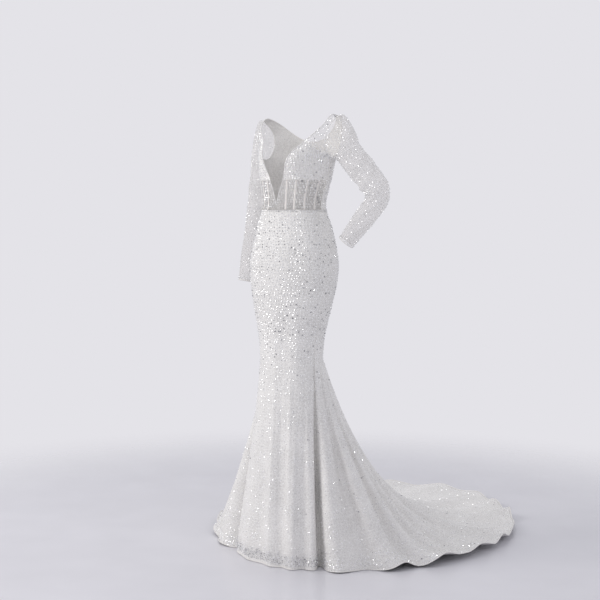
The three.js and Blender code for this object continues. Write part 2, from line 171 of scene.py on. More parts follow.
# Creases laid on the skirt: body angle, middle and half length down the skirt (0 waist,
# 1 flare, 2 hem), half width in degrees, and height, which is below 0 in a trough
CREASES = table(
    "angle middle length spread height",
    (-50, 0.24, 0.10, 9, -1.6), (-22, 0.30, 0.13, 7, 1.4), (14, 0.22, 0.10, 8, -1.5),
    (38, 0.34, 0.16, 6, -1.8), (60, 0.55, 0.20, 5, 1.6), (-36, 0.62, 0.22, 6, -1.8),
    (3, 0.78, 0.20, 7, 1.8), (22, 0.86, 0.20, 6, -2.6), (44, 0.92, 0.22, 6, 2.4),
    (-58, 0.92, 0.20, 5, -2.0), (112, 0.5, 0.2, 7, -1.5), (150, 0.42, 0.16, 8, 1.4),
    (-118, 0.48, 0.2, 7, 1.5), (-152, 0.36, 0.14, 8, -1.5),
    (-32, 1.50, 0.32, 5, 1.6), (-13, 1.60, 0.30, 4, -2.2), (4, 1.45, 0.40, 2.4, 4.2),
    (17, 1.40, 0.36, 3.0, -3.2), (33, 1.45, 0.38, 2.6, 3.8), (47, 1.62, 0.28, 2.6, -3.4),
    (80, 1.18, 0.22, 0.9, -8.0), (-80, 1.18, 0.22, 0.9, -6.0), (64, 1.5, 0.34, 2.2, 3.0),
    (84, 1.72, 0.2, 1.2, 4.0), (91, 1.75, 0.2, 1.2, -4.0),
    (95.5, 1.48, 0.36, 1.2, -13.0), (99.5, 1.60, 0.30, 1.0, 7.2), (108, 1.5, 0.36, 1.3, -14.5),
    (104.5, 1.55, 0.26, 0.9, 6.5), (117, 1.58, 0.34, 1.3, -14.5), (125, 1.5, 0.36, 1.2, -13.8),
    (121, 1.68, 0.26, 0.8, 6.5), (133, 1.66, 0.28, 1.1, -12.3), (129.5, 1.62, 0.3, 0.8, 5.8),
    (141, 1.6, 0.32, 1.1, -13.0), (149, 1.7, 0.26, 1.0, -11.6), (145.5, 1.7, 0.26, 0.8, 5.8),
    (157, 1.62, 0.3, 1.1, -12.3), (166, 1.7, 0.26, 1.0, -10.9), (161.5, 1.72, 0.24, 0.8, 5.2),
    (175, 1.64, 0.3, 1.2, -12.3), (-94, 1.52, 0.34, 1.3, -13.0), (-103, 1.56, 0.32, 1.3, -13.8),
    (-98.5, 1.62, 0.26, 0.9, 6.5), (-113, 1.62, 0.3, 1.2, -13.0), (-122.5, 1.55, 0.34, 1.2, -13.8),
    (-117.5, 1.66, 0.26, 0.8, 6.1), (-131.5, 1.66, 0.28, 1.1, -12.3), (-140.5, 1.6, 0.32, 1.1, -13.0),
    (-149.5, 1.7, 0.26, 1.0, -11.6), (-145, 1.7, 0.26, 0.8, 5.5), (-158.5, 1.62, 0.3, 1.1, -12.3),
    (-167, 1.7, 0.26, 1.0, -10.9),
)
# Each cloth's slot, and the size that gives its thickness
CLOTHS = {
    "Sequinned crepe": ("beaded_cloth", "cloth_thickness"),
    "Tulle net": ("sheer", "net_thickness"),
    "Midriff net": ("sheer", "net_thickness"),
}
# Soft creases of the bodice: body angle, level, half width in degrees, half length, and height
BODICE_CREASES = table(
    "angle middle spread length height",
    (8, -311, 10, 5, -1.2), (40, -317, 12, 5, 1.2), (70, -306, 12, 6, -1.3), (88, -288, 10, 7, 1.2),
    (-10, -312, 10, 5, 1.2), (-44, -316, 12, 6, -1.3), (-72, -302, 12, 6, 1.2), (-86, -284, 9, 7, -1.2),
    (60, -206, 8, 9, -1.4), (80, -170, 6, 12, 1.2), (-58, -208, 8, 9, 1.3), (-78, -174, 6, 12, -1.4),
    (28, -90, 7, 14, -1.0), (-30, -84, 7, 14, -1.0), (110, -262, 9, 9, 1.6), (128, -240, 10, 8, -1.5),
    (150, -300, 12, 7, 1.6), (165, -262, 9, 8, -1.3), (118, -120, 6, 20, 1.4), (-112, -258, 9, 9, -1.6),
    (-130, -236, 10, 8, 1.5), (-152, -298, 12, 7, -1.5), (-166, -256, 9, 9, 1.4), (-120, -124, 6, 20, -1.3),
)
# Depth of nine places round the armhole, from the shoulder (0) to the underarm (1)
ARMHOLE_ROWS = np.array([0, 0.03, 0.1, 0.22, 0.38, 0.55, 0.72, 0.87, 1])
# Arms: where each starts, bends and ends, and the sleeve's half widths on the way
ARMS = {
    "left": dict(side=1, root=(200, 10, -130), elbow=(319, 42, -275), cuff=(205, -2, -432),
                 widths=(46, 48, 45, 38, 35, 29)),
    "right": dict(side=-1, root=(-195, 20, -170), elbow=(-214, 18, -318), cuff=(-232, -28, -574),
                  widths=(40, 41, 38, 34, 32, 27)),
}
# Wrinkles round the sleeves: place along, side of the arm in degrees, spread along and round, height
SLEEVE_WRINKLES = (
    (0.30, 210, 0.020, 55, -2.2), (0.37, 140, 0.018, 60, 1.8), (0.45, 0, 0.014, 70, -3.6),
    (0.49, 20, 0.012, 75, 3.0), (0.53, 350, 0.014, 70, -4.2), (0.575, 10, 0.013, 70, 3.0),
    (0.61, 340, 0.015, 65, -2.8), (0.55, 180, 0.020, 60, 1.6), (0.70, 60, 0.020, 70, -1.6),
    (0.80, 250, 0.020, 70, 1.4), (0.90, 120, 0.016, 80, -1.4), (0.22, 40, 0.020, 60, 2.0),
)


def smooth(value):
    """Ease from 0 to 1."""
    t = np.clip(value, 0, 1)
    return t * t * (3 - 2 * t)


def mix(a, b, t):
    """Value between a and b."""
    return a + (b - a) * t


def apart(angle, at):
    """Degrees from one angle to another, the short way round."""
    return (angle - at + 540) % 360 - 180


def lengths(points):
    """Distance along a line of points, at each of them."""
    return np.concatenate([[0], np.cumsum(np.linalg.norm(np.diff(points, axis=0), axis=1))])


def respaced(points, count):
    """So many points, evenly spaced along a line of points."""
    length = lengths(points)
    even = np.linspace(0, length[-1], count)
    return np.stack([np.interp(even, length, points[:, k]) for k in range(3)], -1)


def evenly(points, gap):
    """Points about a gap apart along a line of points."""
    return respaced(points, max(2, round(lengths(points)[-1] / gap) + 1))


def sample(rows, column, at):
    """Smooth value of one column of a table, by its first column."""
    key = next(iter(rows.values()))
    value = rows[column]
    last = len(key) - 1
    i = np.clip(np.searchsorted(key, at, side="right") - 1, 0, last - 1)
    below, above = np.maximum(np.arange(last + 1) - 1, 0), np.minimum(np.arange(last + 1) + 1, last)
    slope = (value[above] - value[below]) / (key[above] - key[below])
    span = key[i + 1] - key[i]
    t = np.clip((at - key[i]) / span, 0, 1)
    t2, t3 = t * t, t * t * t
    return (
        (2 * t3 - 3 * t2 + 1) * value[i]
        + (t3 - 2 * t2 + t) * span * slope[i]
        + (3 * t2 - 2 * t3) * value[i + 1]
        + (t3 - t2) * span * slope[i + 1]
    )


def body_point(angle, z):
    """Outer surface above the flare, at a body angle (front 0, left 90) and a height."""
    a = np.radians(angle)
    front = np.cos(a) > 0
    round_off = np.sqrt(1 - (1 - np.clip(-z / SHOULDER_ROUNDING, 0, 1)) ** 2)
    depth = np.where(front, sample(SECTIONS, "front", z), sample(SECTIONS, "back", z)) * round_off
    x = sample(SECTIONS, "half", z) * np.sin(a)
    across, up = (np.abs(x) - CUP_X) / CUP_SPREAD, (z - CUP_Z) / CUP_SPREAD
    cup = np.where(front, CUP_OUT * np.cos(a) * np.exp(-(across**2 + up**2) / 2), 0)
    y = sample(SECTIONS, "centre", z) - depth * np.cos(a) - cup
    slope = SHOULDER_SLOPE * np.maximum(0, np.abs(x) - 120) * (1 - np.clip(-z / SLOPE_DEPTH, 0, 1))
    return np.stack([x, y, z - slope], -1)


def angle_at(half, z):
    """Body angle at which the section reaches a distance from the centre."""
    return np.degrees(np.arcsin(np.clip(half / sample(SECTIONS, "half", z), 0, 1)))


def neck_angle(z):
    """Body angle of the front neckline."""
    return np.where(z <= V_BOTTOM, 0, angle_at(sample(NECKLINE, "half", z), z))


def armhole_angle(z):
    """Body angle of the armhole, and of the side seam under it."""
    return np.where(z <= ARMHOLE_BOTTOM, 90, angle_at(sample(ARMHOLE, "half", z), z))


def back_neck_angle(z):
    """Body angle of the back neckline, from the centre back."""
    rise = np.clip((z + BACK_NECK_DEPTH) / BACK_NECK_DEPTH, 0, 1)
    return angle_at(NECK_HALF_WIDTH * np.sqrt(rise), z)


def cup_top(s):
    """Height of the cup's upper edge from the neckline (0) to the underarm (1)."""
    return mix(CUP_CENTRE_TOP, ARMHOLE_BOTTOM, np.maximum(0, s) ** 1.1)


def facing(surface, u, v, du, dv):
    """Direction that a surface faces, from points to each side."""
    across = surface(u + du, v) - surface(u - du, v)
    up = surface(u, v + dv) - surface(u, v - dv)
    normal = np.cross(across, up)
    return normal / np.maximum(np.linalg.norm(normal, axis=-1, keepdims=True), 1e-9)


def flare_base(angle, t):
    """One column of the flare, from the thigh down and out to the hem."""
    top = body_point(angle, np.full_like(angle, FLARE_START))
    turn = np.radians(sample(HEM, "turn", angle))
    radius = sample(HEM, "radius", angle)
    foot = np.stack([radius * np.sin(turn), -radius * np.cos(turn)], -1)
    reach = np.hypot(foot[..., 0] - top[..., 0], foot[..., 1] - top[..., 1])
    drop = top[..., 2] - FLOOR - HEM_CLEARANCE
    train = smooth((reach - TRAIN_START) / (TRAIN_FULL - TRAIN_START))
    landing = mix(0.66 * reach, np.minimum(LANDING, 0.6 * reach), train) / reach
    u = 1 - t
    along = 3 * u * u * t * 0.3 * landing + 3 * u * t * t * landing + t**3
    left = u**3 + 3 * u * u * t * 0.66 + 3 * u * t * t * mix(0.3, 0, train)
    z = FLOOR + HEM_CLEARANCE + drop * left ** mix(1, LANDING_SHARPNESS, train)
    return np.stack([mix(top[..., 0], foot[..., 0], along), mix(top[..., 1], foot[..., 1], along), z], -1)


def bump(angle, at, spread):
    """A soft bump round the body, 1 at its middle."""
    away = apart(angle, at) / spread
    return np.exp(-away * away / 2)


def creased(rows, angle, down):
    """Height of a table's creases, at a body angle and a place down the cloth."""
    height = np.zeros_like(np.asarray(angle, float))
    columns = (rows[key] for key in ("angle", "middle", "length", "spread", "height"))
    for at, middle, length, spread, tall in zip(*columns):
        away = apart(angle, at) / spread
        height += tall * np.exp(-(away**2) / 2 - ((down - middle) / length) ** 2)
    return height


def skirt_form(angle, v):
    """The skirt with its folds: v from 0 at the waist to 1 at the flare and 2 at the hem."""
    angle = apart(np.asarray(angle, float), 0)
    v = np.asarray(v, float)
    upper = body_point(angle, mix(WAIST, FLARE_START, np.minimum(v, 1)))
    t = np.clip(v - 1, 0, 1)
    lower = flare_base(angle, t)
    normal = facing(flare_base, angle, np.clip(t, 0.02, 0.98), 0.5, -0.01)
    height = np.zeros_like(angle)
    for at, tall, spread, begin in zip(*FOLDS.values()):
        height += tall * smooth((t - begin) / (FOLDS_FULL - begin)) * bump(angle, at, spread)
    lower = lower + normal * height[..., None]
    tuck = FRONT_TUCK * smooth((t - TUCK_START) / 0.1) * (1 - smooth((np.abs(angle) - 60) / 25))
    lower[..., 0] -= tuck * np.sin(np.radians(angle))
    lower[..., 1] += tuck * np.cos(np.radians(angle))
    waves = np.zeros_like(angle)
    for at, tall, spread in zip(*RUFFLES.values()):
        waves += tall * bump(angle, at, spread)
    lift = waves * smooth((t - RUFFLES_START) / 0.16)
    lower[..., 2] = np.maximum(lower[..., 2], FLOOR + HEM_CLEARANCE) + lift
    return np.where((v <= 1)[..., None], upper, lower)


def skirt_cloth(angle, v):
    """The skirt's form with the hand-laid creases and the hem's ripple on it."""
    point = skirt_form(angle, v)
    normal = facing(skirt_form, angle, v, 0.4, -0.004)
    trailing = smooth((np.abs(angle) - 84) / 12)
    waves = np.sin(np.radians(angle) * RIPPLE_RATE + 3 * v)
    ripple = RIPPLE_HEIGHT * trailing * smooth((v - 1.55) / 0.45) * waves
    point = point + normal * (creased(CREASES, angle, v) + ripple)[..., None]
    point[..., 2] = np.maximum(point[..., 2], FLOOR + HEM_CLEARANCE)
    return point


def front_panel(side, upper, lower):
    """Form of a front bodice panel: s from the neckline to the side, v between two edges."""

    def form(s, v):
        z = np.minimum(0, mix(upper(s), lower(s), v))
        angle = side * mix(neck_angle(z), armhole_angle(z), s)
        return bodice_cloth(angle, z)

    return form


def back_panel(side):
    """Form of a back half: s from the neckline or centre seam to the armhole or side seam."""

    def form(s, v):
        z = np.minimum(0, WAIST * v)
        angle = side * (180 - mix(back_neck_angle(z), armhole_angle(z), s))
        return bodice_cloth(angle, z)

    return form


def bodice_cloth(angle, z):
    """The body's form with the soft creases of the bodice on it, all flat at the panels' ends."""
    point = body_point(angle, z)
    normal = facing(body_point, angle, np.minimum(z, -1.0), 0.4, 0.8)
    height = creased(BODICE_CREASES, angle, z)
    return point + normal * (height * smooth(-z / 40))[..., None]


def boning_channel(side, at):
    """Form of one boning channel, a crowned tape on the midriff."""

    def form(s, v):
        z = mix(UNDERBUST - 2, WAIST + 2, v)
        angle = side * (at + BONE_HALF_ANGLE * s)
        crown = 0.5 + 1.4 * np.clip(1 - np.abs(s) ** 2.6, 0, 1)
        return body_point(angle, z) + facing(body_point, angle, z, 0.4, 0.8) * crown[..., None]

    return form


def arm_path(arm):
    """Points along the arm with a rounded elbow, evenly spaced from the root to the cuff."""
    root, elbow, cuff = (np.array(arm[key], float) for key in ("root", "elbow", "cuff"))
    before = elbow + (root - elbow) / np.linalg.norm(root - elbow) * ELBOW_ROUNDING
    after = elbow + (cuff - elbow) / np.linalg.norm(cuff - elbow) * ELBOW_ROUNDING
    t = np.linspace(0, 1, 160)[:, None]
    bend = (1 - t) ** 2 * before + 2 * t * (1 - t) * elbow + t * t * after
    return respaced(np.concatenate([mix(root, before, t)[:-1], bend, mix(after, cuff, t)[1:]]), 400)


def sleeve_form(word):
    """Form of a sleeve: u once round from the underarm, v from the armhole to the cuff."""
    arm = ARMS[word]
    side = arm["side"]
    path = arm_path(arm)
    steps = np.arange(len(path)) / (len(path) - 1)
    widths = arm["widths"]

    def on_path(t):
        return np.stack([np.interp(t, steps, path[:, k]) for k in range(3)], -1)

    def ring(u, t):
        centre = on_path(t)
        along = on_path(np.minimum(t + 0.004, 1)) - on_path(np.maximum(t - 0.004, 0))
        along /= np.linalg.norm(along, axis=-1, keepdims=True)
        back = np.array([0.0, 1.0, 0.0]) - along * along[..., 1:2]
        back /= np.linalg.norm(back, axis=-1, keepdims=True)
        out = np.cross(along, back) * side
        width = np.interp(t * (len(widths) - 1), range(len(widths)), widths)[..., None]
        around = (2 * math.pi * u)[..., None]
        return centre - out * width * np.cos(around) - back * width * ARM_DEPTH_RATIO * np.sin(around)

    def form(u, v):
        u, v = np.broadcast_arrays(np.asarray(u, float) % 1, np.asarray(v, float))
        place = 16 * u
        row = np.interp(np.abs(8 - place), range(9), ARMHOLE_ROWS)
        z = ARMHOLE_BOTTOM * row
        front = armhole_angle(z)
        edge = body_point(side * np.where(place <= 8, front, 180 - front), z)
        edge = edge + np.array([0.5 * side, 0, 0])
        w = np.clip(v / CAP_SHARE, 0, 1)
        bulge = CAP_BULGE * 4 * w * (1 - w) * np.maximum(0, -np.cos(2 * math.pi * u))
        cap = mix(edge, ring(u, np.zeros_like(u)), smooth(w * 0.5 + w * w * 0.5)[..., None])
        cap = cap + np.array([0.8 * side, 0, 0.6]) * bulge[..., None]
        t = np.clip((v - CAP_SHARE) / (1 - CAP_SHARE), 0, 1)
        return np.where((v < CAP_SHARE)[..., None], cap, ring(u, t))

    def wrinkled(u, v):
        point = form(u, v)
        normal = outward(form, u, np.clip(v, 0.006, 0.994), 0.004, 0.004, True)
        height = np.zeros_like(point[..., 0])
        for middle, around, spread, breadth, tall in SLEEVE_WRINKLES:
            away = apart(np.asarray(u) * 360, around) / breadth
            slant = middle + 0.012 * np.sin(np.radians(away * breadth))
            height += tall * np.exp(-(away**2) / 2 - ((v - slant) / spread) ** 2)
        return point + normal * height[..., None]

    return wrinkled


def outward(form, u, v, du, dv, ringed):
    """Directions out of a form, away from the gown's middle, or out of the tube where it is ringed."""
    normal = facing(form, u, v, du, dv)
    point = form(u, v)
    if ringed:
        centre = (point + form(u + 0.5, v)) / 2
    else:
        centre = point * np.array([0, 0, 1]) + np.array([*BODY_MIDDLE, 0])
    return normal * np.sign(np.sum(normal * (point - centre)) or 1)


def laid_grid(across, down, place, cloth_map):
    """A flat grid bent to a form, from functions of row and column for its points and its UV map."""
    bm = bmesh.new()
    bmesh.ops.create_grid(bm, x_segments=across, y_segments=down, size=0.5, calc_uvs=True)
    layer = bm.loops.layers.uv.verify()
    bm.verts.index_update()
    flat = np.array([v.co[:2] for v in bm.verts]) + 0.5
    columns = np.rint(flat[:, 0] * across).astype(int)
    rows = np.rint(flat[:, 1] * down).astype(int)
    for vert, i, j in zip(bm.verts, rows, columns):
        vert.co = place(i, j)
    for face in bm.faces:
        face.smooth = True
        for loop in face.loops:
            k = loop.vert.index
            loop[layer].uv = cloth_map(rows[k], columns[k])
    bmesh.ops.remove_doubles(bm, verts=bm.verts, dist=1e-6)
    return bm


class Sheet:
    """A piece of cloth on its form, as a grid of points with the cloth's own lengths, in metres."""

    def __init__(self, name, form, us, vs, ringed=False):
        self.name, self.form, self.us, self.vs = name, form, us, vs
        self.ringed = ringed
        across, down = np.meshgrid(us, vs)
        self.points = form(across, down) * MM
        step = np.linalg.norm(np.diff(self.points, axis=1), axis=-1)
        self.run = np.concatenate([np.zeros((len(vs), 1)), np.cumsum(step, axis=1)], 1)
        self.run -= self.run[:, [len(us) // 2]]
        drop = np.linalg.norm(np.diff(self.points, axis=0), axis=-1)
        self.fall = np.concatenate([np.zeros((1, len(us))), np.cumsum(drop, axis=0)], 0)

    def at(self, u, v, lift=0.0):
        """Points on the sheet in metres and the ways they face, raised by lift in millimetres."""
        du = (self.us[-1] - self.us[0]) * 0.002
        dv = (self.vs[-1] - self.vs[0]) * 0.002
        inner = np.clip(v, self.vs[0] + dv, self.vs[-1] - dv)
        inside = u if self.ringed else np.clip(u, self.us[0] + du, self.us[-1] - du)
        normal = outward(self.form, inside, inner, du, dv, self.ringed)
        return (self.form(u, v) + normal * lift) * MM, normal

    def from_foot(self, u, v):
        """Distance to the lower edge along the cloth, in metres."""
        column = np.interp(u, self.us, np.arange(len(self.us)))
        row = np.interp(v, self.vs, np.arange(len(self.vs)))
        i, j = row.astype(int), np.rint(column).astype(int)
        nearer = np.minimum(i + 1, len(self.vs) - 1)
        here = mix(self.fall[i, j], self.fall[nearer, j], row - i)
        return self.fall[-1, j] - here

    def build(self, material, slot, thickness):
        """Lay a flat grid on the form, as one object with a thin wall inward."""
        bm = laid_grid(len(self.us) - 1, len(self.vs) - 1, lambda i, j: self.points[i, j],
                       lambda i, j: (self.run[i, j], -self.fall[i, j]))
        u, v = self.us[[len(self.us) // 3]], self.vs[[len(self.vs) // 2]]
        laid = facing(self.form, u, v, 0.01 * (self.us[-1] - self.us[0]), 0.01 * (self.vs[-1] - self.vs[0]))
        if np.sum(laid * self.at(u, v)[1]) < 0:
            bmesh.ops.reverse_faces(bm, faces=bm.faces)
        piece = object_from(bm, self.name, material, slot)
        wall = piece.modifiers.new("Wall", "SOLIDIFY")
        wall.thickness = thickness * MM
        wall.offset = -1
        return piece


def object_from(bm, name, material, slot):
    """Turn a bmesh into a piece of the gown with its material; the slot is not used."""
    mesh = bpy.data.meshes.new(name)
    bm.to_mesh(mesh)
    bm.free()
    return piece_from(mesh, name, material, slot)


def piece_from(mesh, name, material, slot):
    """Link a mesh as a piece of the gown."""
    piece = bpy.data.objects.new(name, mesh)
    bpy.context.scene.collection.objects.link(piece)
    mesh.materials.append(material)
    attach(piece, "root")
    return piece


def spans(*stops):
    """Grid lines from (place, steps to the next place) pairs, ending with a place alone."""
    *pairs, last = stops
    ends = [place for place, _ in pairs[1:]] + [last]
    lines = [np.linspace(start, end, count, endpoint=False) for (start, count), end in zip(pairs, ends)]
    return np.concatenate(lines + [[last]])


def level_edge(height):
    """A panel's edge at one height."""
    return lambda s: height + 0 * s


SIDES = (("left", 1), ("right", -1))
SKIRT_PARTS = ("front", "left", "right")
SHEETS = {}


def all_sheets():
    """Every cloth panel: the bodice, the sleeves and the three skirt panels."""
    across = spans((0, 6), (0.06, 40), (0.94, 6), 1)
    down_sleeve = spans((0, 30), (CAP_SHARE, 90), (0.97, 6), 1)
    under = level_edge(UNDERBUST)
    for word, side in SIDES:
        for part, form, rows in (
            ("yoke_", front_panel(side, level_edge(0), cup_top), 40),
            ("cup_", front_panel(side, cup_top, under), 36),
            ("midriff_", front_panel(side, under, level_edge(WAIST)), 28),
            ("back_", back_panel(side), 72),
        ):
            yield Sheet(part + word, form, across, np.linspace(0, 1, rows))
        yield Sheet("sleeve_" + word, sleeve_form(word), np.linspace(0, 1, 65), down_sleeve, ringed=True)
    down_skirt = spans((0, 56), (1, 92), (1.96, 8), 2)
    flank = spans((80, 6), (82, 12), (90, 92), (178.6, 5), 180)
    front = spans((-80, 4), (-79, 100), (79, 4), 80)
    for part, across in zip(SKIRT_PARTS, (front, flank, -flank[::-1])):
        yield Sheet("skirt_" + part, skirt_cloth, across, down_skirt)


def linear(code):
    """Linear colour from an sRGB hex code."""
    parts = [int(code[i:i + 2], 16) / 255 for i in (1, 3, 5)]
    return (*[p / 12.92 if p <= 0.04045 else ((p + 0.055) / 1.055) ** 2.4 for p in parts], 1.0)


def plug(tree, node, inputs):
    """Give a node its inputs, each a value or another node's output."""
    for key, value in inputs.items():
        if isinstance(value, bpy.types.NodeSocket):
            tree.links.new(value, node.inputs[key])
        else:
            node.inputs[key].default_value = value


def add(tree, kind, inputs=None, **settings):
    """Add a shader node with its settings and its inputs."""
    node = tree.nodes.new("ShaderNode" + kind)
    for key, value in settings.items():
        setattr(node, key, value)
    plug(tree, node, inputs or {})
    return node


def remap(tree, value, low, high, start=0.0, end=1.0):
    """Carry a value from one range to another."""
    return add(tree, "MapRange", {"Value": value, "From Min": low, "From Max": high, "To Min": start,
                                  "To Max": end}).outputs["Result"]


def blend(tree, factor, under, over):
    """Colour between an output and a hex colour."""
    return add(tree, "Mix", {0: factor, 6: under, 7: linear(over)}, data_type="RGBA").outputs[2]


def noise(tree, place, scale, detail, **settings):
    """Soft noise from 0 to 1, at a scale."""
    return add(tree, "TexNoise", {"Vector": place, "Scale": scale, "Detail": detail}, **settings
               ).outputs["Fac"]


def wave(tree, place, scale, distortion=0.0, direction="X"):
    """Even bands from 0 to 1, at a scale."""
    return add(tree, "TexWave", {"Vector": place, "Scale": scale, "Distortion": distortion},
               bands_direction=direction).outputs["Fac"]


def cells(tree, place, scale, randomness, feature="F1"):
    """Cells scattered over the cloth, at a scale."""
    return add(tree, "TexVoronoi", {"Vector": place, "Scale": scale, "Randomness": randomness},
               feature=feature, voronoi_dimensions="2D")


def relief(tree, height, strength, distance, **under):
    """Raised relief, over the normal that lies under it."""
    return add(tree, "Bump", {"Height": height, "Strength": strength, "Distance": distance, **under}
               ).outputs["Normal"]


def blank_material(name):
    """A new material with its tree and its main shader."""
    made = bpy.data.materials.new(name)
    made.use_nodes = True
    shader = made.node_tree.nodes["Principled BSDF"]
    return made, made.node_tree, shader


def ramp(tree, factor, *stops):
    """Colour ramp from (place, hex colour) pairs."""
    node = add(tree, "ValToRGB", {"Fac": factor})
    bar = node.color_ramp.elements
    while len(bar) < len(stops):
        bar.new(0.5)
    for element, (place, code) in zip(bar, stops):
        element.position = place
        element.color = linear(code)
    return node.outputs["Color"]


def settle(tree, shader, **values):
    """Give the main shader its inputs by name."""
    plug(tree, shader, {key.replace("_", " "): value for key, value in values.items()})


def cloth_length(tree):
    """The cloth's own lengths in metres, from its UV map."""
    return add(tree, "TexCoord").outputs["UV"]


def beaded_cloth(colour, shade):
    """Polyester crepe under corded net and sequins: a soft matt ground, fine raised cords, and tiny glints
    from smoother sequins that are also painted near-white, with other sequins painted grey as shade.
    """
    made, tree, shader = blank_material("Sequinned crepe")
    place = cloth_length(tree)
    body = add(tree, "TexCoord").outputs["Object"]
    # Cloth mottles softly over about 90 mm, where the net lies closer or looser on the crepe
    mottle = add(tree, "TexNoise", {"Vector": body, "Scale": 11.0, "Detail": 3.0, "Roughness": 0.55})
    ground = ramp(tree, mottle.outputs["Fac"], (0.30, shade), (0.72, colour))
    # Net cords follow a scalloped mesh of 11 mm, each cord about 1.2 mm wide
    cords = cells(tree, place, 91.0, 0.75, "DISTANCE_TO_EDGE")
    cord = remap(tree, cords.outputs["Distance"], 0.03, 0.13, 0.6, 0.0)
    # Sequins are 2.6 mm cups, each tipped its own way: some are painted near-white as a painted glint and
    # made smoother, others are painted grey as painted shade
    tip = add(tree, "SeparateColor", {"Color": cells(tree, place, 385.0, 0.9).outputs["Color"]})
    glint = remap(tree, tip.outputs["Red"], 0.70, 0.98)
    painted_dark = remap(tree, tip.outputs["Green"], 0.86, 1.0, 0.0, 0.6)
    specked = blend(tree, painted_dark, blend(tree, glint, ground, "#FBFAF8"), "#C6C5C6")
    # Crepe's pebbled weave is 0.4 mm, drawn at 0.9 mm so that it shows
    crepe = noise(tree, place, 1100.0, 2.0, noise_dimensions="2D")
    weave = relief(tree, crepe, 0.25, 0.0004)
    raised = relief(tree, cord, 0.6, 0.0006, Normal=weave)
    tipped = relief(tree, tip.outputs["Blue"], 0.35, 0.0005, Normal=raised)
    settle(tree, shader, Base_Color=blend(tree, cord, specked, "#F7F5F2"), Normal=tipped,
           Roughness=remap(tree, glint, 0.0, 1.0, 0.62, 0.26), IOR=1.5, Sheen_Weight=0.22,
           Sheen_Roughness=0.45, Sheen_Tint=linear("#FFFFFF"))
    return made


def sheer_net(name, colour, opacity):
    """Silk-look tulle: a see-through net whose threads catch light at the edges of a form."""
    made, tree, shader = blank_material(name)
    place = cloth_length(tree)
    # Tulle holes are 1 mm, drawn at 2 mm so that they show
    holes = cells(tree, place, 500.0, 0.12, "DISTANCE_TO_EDGE")
    thread = remap(tree, holes.outputs["Distance"], 0.02, 0.16, 0.4, 0.0)
    drift = noise(tree, place, 26.0, 2.0, noise_dimensions="2D")
    ground = ramp(tree, drift, (0.3, "#D3D0CD"), (0.7, colour))
    settle(tree, shader, Base_Color=blend(tree, thread, ground, "#F8F7F5"),
           Normal=relief(tree, thread, 0.2, 0.0002), Roughness=0.55, IOR=1.5, Alpha=opacity,
           Sheen_Weight=0.35, Sheen_Roughness=0.35)
    return made


def boning_tape(colour):
    """Woven satin tape over flat steel bones: a close ribbed face with a line of stitches each side."""
    made, tree, shader = blank_material("Satin boning tape")
    place = cloth_length(tree)
    parts = add(tree, "SeparateXYZ", {"Vector": place})
    # Ribs are 0.8 mm apart down the tape; stitches are 2.5 mm long, 3.4 mm from the middle
    ribs = wave(tree, place, 200.0, 0.6, "Y")
    beside = add(tree, "Math", {0: parts.outputs["X"]}, operation="ABSOLUTE").outputs[0]
    line = add(tree, "Math", {0: beside, 1: 0.0034, 2: 0.0004}, operation="COMPARE").outputs[0]
    dash = wave(tree, place, 64.0, direction="Y")
    long_dash = add(tree, "Math", {0: dash, 1: 0.35}, operation="GREATER_THAN").outputs[0]
    stitch = add(tree, "Math", {0: line, 1: long_dash}, operation="MULTIPLY").outputs[0]
    # The tape is painted darker in the troughs between its ribs, as painted shade
    tone = ramp(tree, ribs, (0.2, "#DAD5CF"), (0.8, colour))
    rib = relief(tree, ribs, 0.3, 0.0003)
    settle(tree, shader, Base_Color=blend(tree, stitch, tone, "#FBFAF8"),
           Normal=relief(tree, stitch, 0.5, 0.0004, Normal=rib), Roughness=0.38, IOR=1.5,
           Sheen_Weight=0.2, Sheen_Roughness=0.3)
    return made


def crystal_beads(name, dark, bright, roughness):
    """Silver-lined cut glass: hard small highlights, some facets bright and some dark, on beads painted
    from grey to white by their tone as painted reflection.
    """
    made, tree, shader = blank_material(name)
    tone = add(tree, "Attribute", attribute_name="tone").outputs["Fac"]
    body = add(tree, "TexCoord").outputs["Object"]
    # Beads turn lighter or darker over about 6 mm by noise, added to the tone that paints them from grey to
    # white as painted reflection
    lining = noise(tree, body, 160.0, 1.0)
    shade = add(tree, "Math", {0: lining, 1: 0.30, 2: tone}, operation="MULTIPLY_ADD").outputs[0]
    settle(tree, shader, Base_Color=ramp(tree, shade, (0.15, dark), (0.75, bright)),
           Normal=relief(tree, lining, 0.15, 0.0003), Metallic=0.6, Roughness=roughness,
           IOR=1.52, Coat_Weight=1.0, Coat_Roughness=0.04)
    return made


def satin_binding(colour):
    """Bias-cut satin ribbon: a smooth roll with a diagonal weave and long soft highlights."""
    made, tree, shader = blank_material("Bias satin binding")
    place = cloth_length(tree)
    turned = add(tree, "Mapping", {"Vector": place, "Rotation": (0, 0, math.radians(45))})
    # Satin floats are 0.5 mm, drawn at 1 mm so that they show
    floats = wave(tree, turned.outputs["Vector"], 160.0, 1.0)
    # The satin is painted darker in the troughs between its floats, as painted shade
    settle(tree, shader, Base_Color=ramp(tree, floats, (0.1, "#DEDBD7"), (0.7, colour)),
           Normal=relief(tree, floats, 0.3, 0.0003), Roughness=0.34, IOR=1.5,
           Sheen_Weight=0.25, Sheen_Roughness=0.3)
    return made


